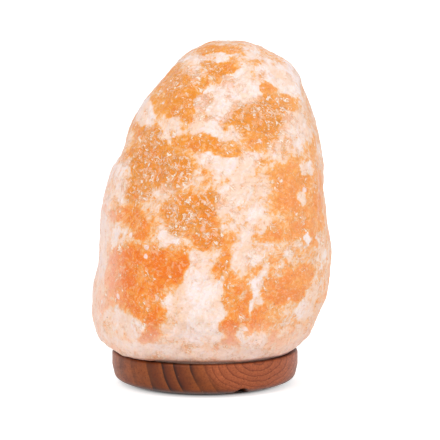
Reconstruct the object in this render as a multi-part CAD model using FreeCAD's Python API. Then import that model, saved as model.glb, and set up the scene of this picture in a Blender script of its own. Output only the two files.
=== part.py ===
import FreeCAD, Part
import math
import os
from FreeCAD import Vector

# A salt crystal lamp: a hewn crystal screwed to a turned wooden board, with a lamp holder that
# springs into the board's bore from below and carries a small screw bulb inside the crystal.
# Millimetres, +Z up. The origin is on the table under the middle of the board, and -Y is the front.
# Heights below are above the table unless their comment says otherwise.

# ---- board ----
board_lift = 1.2                # underside of the board above the table
board_radius = 55.4             # at the side
board_thickness = 19.0
# The turned heel, from the flat of the underside to the upright side: how far it is inside the
# side, and its height above the underside.
board_heel = (
    (6.9, 0.0),
    (1.8, 3.2),
    (0.0, 9.8),
)
rim_width = 3.8
dish_depth = 3.0                # of the shallow dish that seats the crystal

holder_bore_radius = 20.0       # the springs catch on this bore's upper edge
recess_radius = 24.5            # wider bore from below, which takes the clip plate
ledge_thickness = 4.8           # wood left between the recess and the dish

groove_azimuth = 25.0           # cord groove, to the right of the front
groove_radius = 5.6             # of the round cutter
groove_height = 4.1             # above the underside
groove_start = 12.0             # from the middle, inside the recess
relief_width = 11.0             # shallow cut beside the groove
relief_slope = 3.0
relief_depth = 1.0
relief_reach = 16.0             # inwards from the board's side

foot_count = 3
foot_start = 30.0               # degrees from the groove
foot_radius = 4.5
foot_inset = 16.4               # of its middle, inside the board's side

# ---- crystal ----
rim_gap = 0.5                   # between the board's rim and the overhanging crystal
seat_clearance = 1.0            # round the ground spigot, in the dish
cavity_radius = 25.0
cavity_depth = 89.8             # from the seat

crystal_height = 182.3          # above the board's rim
crystal_width = 142.0
crystal_depth = 134.0
# Outlines of the hewn surface as shares of those sizes, from the shoulder to the broken top:
# height above the shoulder, and reach from the middle.
crystal_left = (
    (0.00, 0.375), (0.02, 0.435), (0.06, 0.458), (0.13, 0.472), (0.23, 0.468), (0.27, 0.452),
    (0.36, 0.442), (0.48, 0.436), (0.53, 0.417), (0.57, 0.392), (0.60, 0.365), (0.66, 0.342),
    (0.75, 0.302), (0.80, 0.274), (0.84, 0.213), (0.90, 0.157), (0.95, 0.102), (0.98, 0.040),
    (1.00, -0.010),
)
crystal_right = (
    (0.00, 0.360), (0.02, 0.400), (0.06, 0.440), (0.10, 0.462), (0.16, 0.500), (0.23, 0.523),
    (0.35, 0.524), (0.45, 0.513), (0.60, 0.499), (0.68, 0.482), (0.74, 0.460), (0.80, 0.441),
    (0.86, 0.406), (0.90, 0.389), (0.94, 0.334), (0.97, 0.270), (1.00, 0.185),
)
crystal_front = (
    (0.00, 0.392), (0.03, 0.435), (0.07, 0.467), (0.14, 0.493), (0.23, 0.500), (0.45, 0.478),
    (0.59, 0.437), (0.77, 0.354), (0.86, 0.297), (0.92, 0.231), (0.97, 0.150), (1.00, 0.075),
)
crystal_back = (
    (0.00, 0.388), (0.03, 0.430), (0.07, 0.456), (0.14, 0.474), (0.33, 0.485), (0.45, 0.481),
    (0.59, 0.459), (0.77, 0.407), (0.86, 0.356), (0.92, 0.302), (0.97, 0.216), (1.00, 0.134),
)
ring_count = 25
ring_corners = 24
ring_crowding = 0.08            # by which the rings crowd at the foot and the top
ring_squareness = 2.3           # 2 is an ellipse, more is squarer
# Swellings of the rings: share of the reach, waves in a turn, height of one turn of twist, phase.
crystal_swells = (
    (0.030, 3, 260.0, 0.6),
    (0.018, 5, -170.0, 2.1),
)
# Broad flats hewn off the front and the back: turn from +X and rise above the level in degrees,
# and how deep the flat's plane goes into the surface.
crystal_flats = (
    (-97, 36, 5.0),
    (-58, 28, 4.0),
    (-130, 20, 4.0),
    (-104, 3, 2.5),
    (-66, -4, 4.0),
    (-138, -8, 3.0),
    (-90, -30, 3.0),
    (92, 32, 7.0),
    (52, 14, 6.5),
    (122, 10, 7.0),
    (84, -6, 5.0),
    (140, -24, 5.0),
    (45, -28, 5.0),
)
chisel_share = 0.009            # of the reach, by which the hewn corners go in and out
chisel_steps = (400, 5)         # radians, of the wave from ring to ring and corner to corner

# ---- screws that hold the crystal ----
screw_count = 3
screw_start = 90.0              # degrees from the groove
screw_circle_radius = 33.0
screw_head_radius = 3.8
screw_head_height = 2.4
screw_shank_radius = 2.0
screw_length = 30.0             # under the head
screw_hole_clearance = 0.3
counterbore_clearance = 0.8
counterbore_depth = 7.0
plug_radius = 3.9               # of the square's corners
plug_length = 25.0
plug_hole_radius = 4.0
plug_hole_spare = 0.5           # at each end of the plug
plug_bore_clearance = 0.05      # between the screw and the flats of the plug's square bore

# ---- clip plate and springs ----
plate_clearance = 1.0           # round the plate, in the recess
plate_gap = 0.1                 # between the plate and the recess's roof
plate_thickness = 1.0
spring_count = 3
spring_start = 60.0             # degrees from the groove
spring_thickness = 0.5
spring_width = 6.0
spring_foot_length = 4.0
spring_stem_gap = 0.8           # between the spring's stem and the bore
spring_bend_radius = 1.4        # outside, at the foot
spring_sweep_radius = 5.0       # at the bulge's start and crest
spring_bulge = 3.4              # outwards from the stem
spring_bulge_height = 13.0      # above the dish's floor
spring_tip_height = 26.0        # above the dish's floor

# ---- lamp holder ----
fit_clearance = 0.2             # between parts of the holder that slide into each other
holder_radius = 12.4
holder_height = 30.0            # above the plate
shoulder_width = 1.0            # of the step that sits on the plate
spigot_wall = 1.6
spigot_length = 1.4             # below the plate
skirt_depth = 7.7               # of the terminals' space, below the socket's floor
socket_floor = 3.0
cap_sides = 12                  # flats to grip the cap by
cap_wall = 2.1
cap_height = 3.9
cap_floor = 1.8
bush_flange_sides = 6
bush_flange_radius = 5.4        # of the hexagon's corners
bush_flange_height = 1.4
bush_neck_radius = 3.9
bush_clearance = 0.1            # round the neck, in the cap's hole
bush_neck_spare = 0.8           # above the cap's floor
cord_bore_radius = 2.7

shell_wall = 0.4
shell_length = 20.4
shell_clearance = 0.1           # to the holder's bore
thread_clearance = 0.2          # between the shell and the bulb's cap

contact_thickness = 0.4
contact_width = 4.0
contact_rise = 2.8              # of the contact's crest above the socket's floor
contact_foot_x = 5.6
contact_bend_x = 2.8
contact_end_x = -3.6
contact_end_rise = 1.4
contact_bend_radius = 2.0
contact_gap = 0.1               # to the bulb

tag_thickness = 0.8
tag_width = 5.0
tag_x = 6.4                     # of its upright's outer side
tag_foot_length = 4.0
tag_drop = 4.6                  # below the socket's floor
tag_bend_radius = 1.4

# ---- bulb ----
tip_radius = 2.3
tip_height = 1.6
insulator_radius = 4.6
insulator_height = 2.8
bulb_cap_radius = 6.95
bulb_cap_length = 20.4
glass_neck_radius = 6.7
glass_radius = 11.0
glass_shoulder_height = 4.0
glass_length = 32.4             # above the cap
glass_end_radius = 7.5          # of the flat on top
glass_end_height = 3.0          # of the slope that leads up to it

# ---- heights and radii that follow from the sizes above ----
board_bottom = board_lift
board_top = board_bottom + board_thickness
seat = board_top - dish_depth
recess_roof = seat - ledge_thickness
dish_radius = board_radius - rim_width
foot_circle_radius = board_radius - foot_inset
crystal_shoulder = board_top + rim_gap
crystal_spigot_radius = dish_radius - seat_clearance

screw_head_seat = board_bottom + counterbore_depth
plug_bottom = seat + plug_hole_spare

plate_radius = recess_radius - plate_clearance
plate_top = recess_roof - plate_gap
plate_bottom = plate_top - plate_thickness
# The stem's outer corners clear the bore.
stem_outer = math.sqrt((holder_bore_radius - spring_stem_gap) ** 2 - (spring_width / 2) ** 2)

shell_bore_radius = bulb_cap_radius + thread_clearance
shell_radius = shell_bore_radius + shell_wall
socket_radius = shell_radius + shell_clearance
spigot_outer = holder_radius - shoulder_width
skirt_radius = spigot_outer - spigot_wall
spigot_bottom = plate_bottom - spigot_length
holder_top = plate_top + holder_height
plate_hole_radius = spigot_outer + fit_clearance
cap_bottom = plate_bottom - cap_height
cap_floor_top = cap_bottom + cap_floor
cap_bore_radius = spigot_outer + fit_clearance
cap_radius = cap_bore_radius + cap_wall
bush_hole_radius = bush_neck_radius + bush_clearance
bush_bottom = cap_bottom - bush_flange_height
bush_top = cap_floor_top + bush_neck_spare

floor_underside = spigot_bottom + skirt_depth
floor_top = floor_underside + socket_floor
contact_crest = floor_top + contact_rise
tip_bottom = contact_crest + contact_gap
insulator_bottom = tip_bottom + tip_height
bulb_cap_bottom = insulator_bottom + insulator_height
bulb_cap_top = bulb_cap_bottom + bulb_cap_length
glass_top = bulb_cap_top + glass_length

groove_turn = math.radians(groove_azimuth - 90)     # from +X


# ---- helpers ----
def spaced(count, start):
    """Turns from +X of a count of places spaced evenly, the first so many degrees from the
    groove."""
    return [groove_turn + math.radians(start + 360 * i / count) for i in range(count)]


def at(radius, height):
    """A point of an outline in the plane that is turned about Z."""
    return Vector(radius, 0, height)


def around(radius, turn, height):
    """A point at a radius and a turn from +X."""
    return Vector(radius * math.cos(turn), radius * math.sin(turn), height)


def turned(*corners):
    """The solid that an outline of straight lines, given as (radius, height), sweeps about Z."""
    points = [at(*corner) for corner in corners]
    face = Part.Face(Part.makePolygon(points + points[:1]))
    return face.revolve(Vector(), Vector(0, 0, 1), 360)


def rod(radius, bottom, top, place=Vector()):
    return Part.makeCylinder(radius, top - bottom, place + Vector(0, 0, bottom))


def tube(inner, outer, bottom, top):
    return rod(outer, bottom, top).cut(rod(inner, bottom, top))


def prism(radius, sides, bottom, top):
    """An upright prism, with its corners at the radius."""
    corners = [around(radius, 2 * math.pi * i / sides, bottom) for i in range(sides)]
    face = Part.Face(Part.makePolygon(corners + corners[:1]))
    return face.extrude(Vector(0, 0, top - bottom))


def rounded_path(points, radii):
    """A wire along the points, with a tangent arc of its own radius at each inner one."""
    edges = []
    start = points[0]
    for i, radius in enumerate(radii):
        corner = points[i + 1]
        back = (points[i] - corner).normalize()
        on = (points[i + 2] - corner).normalize()
        half = back.getAngle(on) / 2
        cut = radius / math.tan(half)
        middle = corner + (back + on).normalize() * (radius / math.sin(half) - radius)
        edges.append(Part.makeLine(start, corner + back * cut))
        edges.append(Part.Arc(corner + back * cut, middle, corner + on * cut).toShape())
        start = corner + on * cut
    edges.append(Part.makeLine(start, points[-1]))
    return Part.Wire(edges)


def strip(points, radii, thickness, width):
    """A bent strip of sheet metal. The points, in the XZ plane, run along one side of it, and
    the thickness goes to their left if it is positive, as seen from the front."""
    face = rounded_path(points, radii).makeOffset2D(thickness, 0, True, True)
    face.translate(Vector(0, -width / 2, 0))
    return face.extrude(Vector(0, width, 0))


def rotated(shape, turn):
    copy = shape.copy()
    copy.rotate(Vector(), Vector(0, 0, 1), math.degrees(turn))
    return copy


def turned_copies(shape, turns):
    """A group of copies of a shape, each turned about Z."""
    return Part.makeCompound([rotated(shape, turn) for turn in turns])


screw_turns = spaced(screw_count, screw_start)
foot_turns = spaced(foot_count, foot_start)
spring_turns = spaced(spring_count, spring_start)


# ---- board ----
def board_blank():
    """The turned disc with its rounded heel, upright side, rim and shallow dish."""
    heel = [(board_radius - inset, board_bottom + height) for inset, height in board_heel]
    return turned((0, board_bottom), *heel, (board_radius, board_top), (dish_radius, board_top),
                  (dish_radius, seat), (0, seat))


def cord_groove():
    """The round-nosed groove along +X, from the recess out through the board's side, and the
    shallow cut beside it."""
    axis_height = board_bottom + groove_height - groove_radius
    cutter = Part.makeCylinder(groove_radius, board_radius,
                               Vector(groove_start, 0, axis_height), Vector(1, 0, 0))
    section = [
        Vector(board_radius, 0, 0),
        Vector(board_radius, -relief_width, 0),
        Vector(board_radius, -relief_width, board_bottom),
        Vector(board_radius, relief_slope - relief_width, board_bottom + relief_depth),
        Vector(board_radius, 0, board_bottom + relief_depth),
    ]
    relief = Part.Face(Part.makePolygon(section + section[:1])).extrude(Vector(-relief_reach, 0, 0))
    return cutter.fuse(relief)


def wooden_base():
    board = board_blank()
    cuts = [
        rod(holder_bore_radius, board_bottom, seat),
        rod(recess_radius, board_bottom, recess_roof),
        rotated(cord_groove(), groove_turn),
    ]
    for turn in screw_turns:
        place = around(screw_circle_radius, turn, 0)
        cuts.append(rod(screw_shank_radius + screw_hole_clearance, board_bottom, seat, place))
        cuts.append(rod(screw_head_radius + counterbore_clearance, board_bottom, screw_head_seat,
                        place))
    return board.cut(cuts)


def rubber_foot(turn):
    return rod(foot_radius, 0, board_bottom, around(foot_circle_radius, turn, 0))


# ---- crystal ----
def reach_of(outline, share):
    """How far an outline reaches at a share of the crystal's height."""
    for (low, near), (high, far) in zip(outline, outline[1:]):
        if share <= high:
            break
    return near + (far - near) * (share - low) / (high - low)


def crystal_ring(level):
    """The corners of one ring. Every other ring is turned by half a step, so that the facets
    interlock. The swellings die out at the left and right, where the ring keeps its reach."""
    run = level / (ring_count - 1)
    share = run - ring_crowding * math.sin(2 * math.pi * run)
    height = share * crystal_height
    left, right = -reach_of(crystal_left, share), reach_of(crystal_right, share)
    front, back = -reach_of(crystal_front, share), reach_of(crystal_back, share)
    corners = []
    for i in range(ring_corners):
        turn = 2 * math.pi * (i + level % 2 / 2) / ring_corners
        across, along = math.cos(turn), math.sin(turn)
        power = ring_squareness
        reach = (abs(across) ** power + abs(along) ** power) ** (-1 / power)
        for swell, waves, twist, phase in crystal_swells:
            wave = math.sin(waves * turn + 2 * math.pi * height / twist + phase)
            reach *= 1 + swell * along ** 2 * wave
        reach *= 1 + chisel_share * math.sin(level * chisel_steps[0] + i * chisel_steps[1])
        x = (left + right + reach * across * (right - left)) / 2 * crystal_width
        y = (front + back + reach * along * (back - front)) / 2 * crystal_depth
        corners.append(Vector(x, y, crystal_shoulder + height))
    return corners


def flattened(rings):
    """The rings with the flats hewn off: what stands past a flat's plane is moved onto it."""
    for azimuth, rise, depth in crystal_flats:
        out = around(math.cos(math.radians(rise)), math.radians(azimuth),
                     math.sin(math.radians(rise)))
        limit = max(corner.dot(out) for ring in rings for corner in ring) - depth
        rings = [[corner - out * max(0, corner.dot(out) - limit) for corner in ring]
                 for ring in rings]
    return rings


def facet(*corners):
    return Part.Face(Part.makePolygon([*corners, corners[0]]))


def crystal_body():
    """The hewn crystal: flat facets between the rings, a flat foot and the broken flat on top."""
    foot, *rings, top = [crystal_ring(level) for level in range(ring_count)]
    rings = [foot, *flattened(rings), top]
    facets = [facet(*foot), facet(*top)]
    for level, (low, high) in enumerate(zip(rings, rings[1:])):
        for i in range(ring_corners):
            on = (i + 1) % ring_corners
            if level % 2:
                facets.append(facet(low[i], low[on], high[on]))
                facets.append(facet(low[i], high[on], high[i]))
            else:
                facets.append(facet(low[i], low[on], high[i]))
                facets.append(facet(low[on], high[on], high[i]))
    return Part.makeSolid(Part.makeShell(facets))


def salt_crystal():
    body = crystal_body().fuse(rod(crystal_spigot_radius, seat, crystal_shoulder))
    cuts = [rod(cavity_radius, seat, seat + cavity_depth)]
    hole_top = plug_bottom + plug_length + plug_hole_spare
    for turn in screw_turns:
        cuts.append(rod(plug_hole_radius, seat, hole_top, around(screw_circle_radius, turn, 0)))
    return body.cut(cuts)


# ---- screws and plugs ----
def crystal_screws():
    """Pan-head screws, heads down in their counterbores."""
    screw = turned(
        (0, screw_head_seat - screw_head_height),
        (screw_head_radius, screw_head_seat - screw_head_height),
        (screw_head_radius, screw_head_seat),
        (screw_shank_radius, screw_head_seat),
        (screw_shank_radius, screw_head_seat + screw_length),
        (0, screw_head_seat + screw_length),
    )
    screw.translate(Vector(screw_circle_radius, 0, 0))
    return turned_copies(screw, screw_turns)


def wall_plugs():
    """Square plugs that jam in round holes, with a square bore for the screw."""
    plug_top = plug_bottom + plug_length
    bore_corner = (screw_shank_radius + plug_bore_clearance) / math.cos(math.pi / 4)
    plug = prism(plug_radius, 4, plug_bottom, plug_top)
    plug = plug.cut(prism(bore_corner, 4, plug_bottom, plug_top))
    plug.translate(Vector(screw_circle_radius, 0, 0))
    return turned_copies(plug, screw_turns)


# ---- clip plate ----
def clip_plate():
    return tube(plate_hole_radius, plate_radius, plate_bottom, plate_top)


def clip_spring(turn):
    """A leaf spring: foot, stem through the bore, bulge above the dish's floor, drawn-in tip."""
    points = [
        at(stem_outer - spring_foot_length - spring_bend_radius, plate_top),
        at(stem_outer, plate_top),
        at(stem_outer, seat + spring_thickness),
        at(stem_outer + spring_bulge, seat + spring_bulge_height),
        at(stem_outer, seat + spring_tip_height),
    ]
    radii = [spring_bend_radius, spring_sweep_radius, spring_sweep_radius]
    return rotated(strip(points, radii, spring_thickness, spring_width), turn)


# ---- lamp holder ----
def holder_body():
    """The moulded body: socket above the floor, and below it a skirt round the terminals, whose
    end passes through the clip plate into the cap."""
    return turned(
        (0, floor_underside),
        (skirt_radius, floor_underside),
        (skirt_radius, spigot_bottom),
        (spigot_outer, spigot_bottom),
        (spigot_outer, plate_top),
        (holder_radius, plate_top),
        (holder_radius, holder_top),
        (socket_radius, holder_top),
        (socket_radius, floor_top),
        (0, floor_top),
    )


def holder_cap():
    """The cap that clamps the plate against the body's shoulder."""
    cap = prism(cap_radius, cap_sides, cap_bottom, plate_bottom)
    return cap.cut([
        rod(cap_bore_radius, cap_floor_top, plate_bottom),
        rod(bush_hole_radius, cap_bottom, cap_floor_top),
    ])


def cord_bush():
    """The hexagonal bush that the cord comes in through."""
    flange = prism(bush_flange_radius, bush_flange_sides, bush_bottom, cap_bottom)
    bush = flange.fuse(rod(bush_neck_radius, cap_bottom, bush_top))
    return bush.cut(rod(cord_bore_radius, bush_bottom, bush_top))


def screw_shell():
    return tube(shell_bore_radius, shell_radius, floor_top, floor_top + shell_length)


def centre_contact():
    """A bent tongue that springs up against the bulb's tip."""
    points = [
        at(contact_end_x, floor_top + contact_end_rise),
        at(0, contact_crest),
        at(contact_bend_x, floor_top + contact_thickness),
        at(contact_foot_x, floor_top + contact_thickness),
    ]
    radii = [contact_bend_radius, contact_bend_radius]
    return strip(points, radii, -contact_thickness, contact_width)


def terminal_tag(turn):
    """A bent solder tag under the socket's floor."""
    points = [
        at(tag_x - tag_foot_length, floor_underside),
        at(tag_x, floor_underside),
        at(tag_x, floor_underside - tag_drop),
    ]
    return rotated(strip(points, [tag_bend_radius], -tag_thickness, tag_width), turn)


# ---- bulb ----
def bulb_contact():
    return rod(tip_radius, tip_bottom, insulator_bottom)


def bulb_insulator():
    return rod(insulator_radius, insulator_bottom, bulb_cap_bottom)


def bulb_cap():
    return rod(bulb_cap_radius, bulb_cap_bottom, bulb_cap_top)


def bulb_glass():
    """A frosted tubular envelope."""
    return turned(
        (0, bulb_cap_top),
        (glass_neck_radius, bulb_cap_top),
        (glass_radius, bulb_cap_top + glass_shoulder_height),
        (glass_radius, glass_top - glass_end_height),
        (glass_end_radius, glass_top),
        (0, glass_top),
    )


nodes = {
    "wooden_base": wooden_base(),
    "crystal_screws": crystal_screws(),
    "wall_plugs": wall_plugs(),
    "salt_crystal": salt_crystal(),
    "clip_plate": clip_plate(),
    "holder_body": holder_body(),
    "holder_cap": holder_cap(),
    "cord_bush": cord_bush(),
    "screw_shell": screw_shell(),
    "centre_contact": centre_contact(),
    "live_tag": terminal_tag(0),
    "neutral_tag": terminal_tag(math.pi),
    "bulb_contact": bulb_contact(),
    "bulb_insulator": bulb_insulator(),
    "bulb_cap": bulb_cap(),
    "bulb_glass": bulb_glass(),
}
for number, turn in enumerate(foot_turns, 1):
    nodes[f"rubber_foot_{number}"] = rubber_foot(turn)
for number, turn in enumerate(spring_turns, 1):
    nodes[f"clip_spring_{number}"] = clip_spring(turn)

os.makedirs("parts", exist_ok=True)
for name, shape in nodes.items():
    shape.exportStep(f"parts/{name}.step")
    print(name, len(shape.Solids), "solid(s)", round(shape.Volume, 1), "mm3", shape.isValid())
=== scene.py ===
import bmesh
import bpy
import math
import numpy as np
from mathutils import Matrix, Vector, noise
from mathutils.bvhtree import BVHTree


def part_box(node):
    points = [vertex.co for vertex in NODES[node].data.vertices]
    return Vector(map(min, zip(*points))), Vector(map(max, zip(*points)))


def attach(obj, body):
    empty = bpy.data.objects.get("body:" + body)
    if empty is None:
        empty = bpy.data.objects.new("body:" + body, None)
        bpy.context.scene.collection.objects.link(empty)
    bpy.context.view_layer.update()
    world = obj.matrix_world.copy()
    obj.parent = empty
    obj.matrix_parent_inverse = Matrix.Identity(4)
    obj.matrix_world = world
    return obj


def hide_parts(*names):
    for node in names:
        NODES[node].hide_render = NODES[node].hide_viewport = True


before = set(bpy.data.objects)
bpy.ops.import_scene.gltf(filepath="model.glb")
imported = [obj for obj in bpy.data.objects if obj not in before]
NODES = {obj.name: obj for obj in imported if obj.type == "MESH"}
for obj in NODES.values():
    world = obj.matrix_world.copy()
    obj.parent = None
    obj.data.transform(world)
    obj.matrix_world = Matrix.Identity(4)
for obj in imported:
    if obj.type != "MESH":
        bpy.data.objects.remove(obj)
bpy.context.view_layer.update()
MM = 0.001
FAR = 0.4      # metres, beyond every part of the lamp

# The camera: its place in mm, its tilt down in degrees, and its lens and sensor in mm.
CAMERA = (9.0, -1600.0, 302.65)
CAMERA_TILT = 7.307
LENS, SENSOR = 222.24, 36.0


# ---- materials ----
def tint(red, green, blue):
    """A colour given as it shows on a screen, 0 to 255, as Blender wants it."""
    def linear(c):
        c /= 255
        return c / 12.92 if c <= 0.04045 else ((c + 0.055) / 1.055) ** 2.4
    return (linear(red), linear(green), linear(blue), 1.0)


def socket(key):
    return key.replace("_", " ").title().replace("Ior", "IOR")


class Graph:
    """A material, and a call for each kind of node that its pattern is made from. Patterns live
    in the object's own space, so their scales are in waves per metre."""

    def __init__(self, name, **finish):
        self.material = bpy.data.materials.new(name)
        self.material.use_nodes = True
        self.tree = self.material.node_tree
        self.tree.nodes.clear()
        self.shader = self.tree.nodes.new("ShaderNodeBsdfPrincipled")
        for key, value in finish.items():
            self.shader.inputs[socket(key)].default_value = value
        output = self.tree.nodes.new("ShaderNodeOutputMaterial")
        self.tree.links.new(self.shader.outputs[0], output.inputs["Surface"])
        self.place = self.tree.nodes.new("ShaderNodeTexCoord").outputs["Object"]

    def put(self, socket, value):
        if isinstance(value, bpy.types.NodeSocket):
            self.tree.links.new(value, socket)
        elif value is not None:
            socket.default_value = value

    def node(self, kind, inputs=(), **settings):
        node = self.tree.nodes.new("ShaderNode" + kind)
        for key, value in settings.items():
            setattr(node, key, value)
        for key, value in dict(inputs).items():
            self.put(node.inputs[key], value)
        return node

    def math(self, operation, a, b=None, c=None, clamp=False):
        node = self.node("Math", {0: a, 1: b, 2: c}, operation=operation, use_clamp=clamp)
        return node.outputs[0]

    def add(self, a, b):
        return self.math("ADD", a, b)

    def times(self, a, b):
        return self.math("MULTIPLY", a, b)

    def moved(self, scale=(1, 1, 1), turn=(0, 0, 0), shift=(0, 0, 0), place=None):
        inputs = {"Vector": place or self.place, "Scale": scale, "Rotation": turn,
                  "Location": shift}
        return self.node("Mapping", inputs).outputs[0]

    def axis(self, letter, place=None):
        return self.node("SeparateXYZ", {0: place or self.place}).outputs[letter]

    def noise(self, scale, detail=3.0, rough=0.5, twist=0.0, place=None, output="Fac"):
        inputs = {"Vector": place or self.place, "Scale": scale, "Detail": detail,
                  "Roughness": rough, "Distortion": twist}
        return self.node("TexNoise", inputs).outputs[output]

    def cells(self, scale, feature="F1", place=None, output="Distance"):
        inputs = {"Vector": place or self.place, "Scale": scale}
        return self.node("TexVoronoi", inputs, feature=feature).outputs[output]

    def chance(self, scale, place=None):
        """A random number from 0 to 1 for each grain of a size."""
        return self.axis("X", place=self.cells(scale, place=place, output="Color"))

    def facets(self, scale, place=None):
        """Heights of small flats, each leaning its own way, over about -0.5 to 0.5."""
        place = place or self.place
        cell = self.node("TexVoronoi", {"Vector": place, "Scale": scale}, feature="F1")
        off = self.node("VectorMath", {0: place, 1: cell.outputs["Position"]},
                        operation="SUBTRACT")
        lean = self.node("VectorMath", {0: cell.outputs["Color"], 1: (0.5, 0.5, 0.5)},
                         operation="SUBTRACT")
        dot = self.node("VectorMath", {0: off.outputs[0], 1: lean.outputs[0]},
                        operation="DOT_PRODUCT")
        return self.times(dot.outputs["Value"], scale)

    def warped(self, scale, reach, detail=2.0, place=None):
        """The place, pushed about by noise as far as the reach in metres."""
        push = self.noise(scale, detail, place=place, output="Color")
        off = self.node("VectorMath", {0: push, 1: (0.5, 0.5, 0.5)}, operation="SUBTRACT")
        off = self.node("VectorMath", {0: off.outputs[0], "Scale": 2 * reach}, operation="SCALE")
        sum_ = self.node("VectorMath", {0: place or self.place, 1: off.outputs[0]},
                         operation="ADD")
        return sum_.outputs[0]

    def step(self, value, low, high, to_low=0.0, to_high=1.0):
        """A soft step from one level to another as the value goes from low to high."""
        inputs = {"Value": value, "From Min": low, "From Max": high, "To Min": to_low,
                  "To Max": to_high}
        return self.node("MapRange", inputs, interpolation_type="SMOOTHSTEP").outputs[0]

    def ramp(self, value, *stops):
        node = self.node("ValToRGB", {0: value})
        elements = node.color_ramp.elements
        while len(elements) < len(stops):
            elements.new(1.0)
        for element, (at, colour) in zip(elements, stops):
            element.position = at
            element.color = colour
        return node.outputs[0]

    def mix(self, share, a, b, blend="MIX"):
        node = self.node("Mix", data_type="RGBA", blend_type=blend)
        self.put(node.inputs[0], share)
        self.put(node.inputs[6], a)
        self.put(node.inputs[7], b)
        return node.outputs[2]

    def swing(self, value, reach):
        """A value of 0 to 1 as one about zero, over a reach."""
        return self.times(self.math("SUBTRACT", value, 0.5), reach)

    def attribute(self, name):
        return self.node("Attribute", attribute_name=name).outputs["Fac"]

    def bump(self, *layers):
        """Bumps of (height from 0 to 1, depth in metres), one on top of the other."""
        normal = None
        for height, depth in layers:
            inputs = {"Height": height, "Distance": depth, "Strength": 1.0, "Normal": normal}
            normal = self.node("Bump", inputs).outputs[0]
        return normal

    def finish(self, **sockets):
        for key, value in sockets.items():
            self.put(self.shader.inputs[socket(key)], value)
        return self.material


# ---- the crystal ----
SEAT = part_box("salt_crystal")[0].z
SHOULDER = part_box("wooden_base")[1].z + 0.5 * MM
MIDDLE = Vector((0, 0, 95 * MM))      # every part of the hewn surface can be seen from here
SPIGOT, CAVITY, CAVITY_TOP = 50.6 * MM, 25.0 * MM, 107.0 * MM
AROUND, UP = 400, 270                 # columns, rows of the hewn surface
MOST_CUT = 1.4 * MM                   # that the flats go under the CAD surface

# The view that the veins were placed on: the front as the camera sees it, enlarged.
FRAME_SIDE = 440                      # pixels, of the camera's frame
VIEW_LEFT, VIEW_TOP = 79.0, 32.7      # of the enlarged view, in the frame
VIEW_ZOOM = 4.263
LEAST_VEIN = 1.0                      # mm, half across
FRONT = 60.0                          # mm, how far forward the crystal's front is
FRONT_EASE, FRONT_TOP = 110.0, 203.0  # heights between which it leans back
FRONT_FALL = 45.0                     # mm, by which it has then gone back

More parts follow.
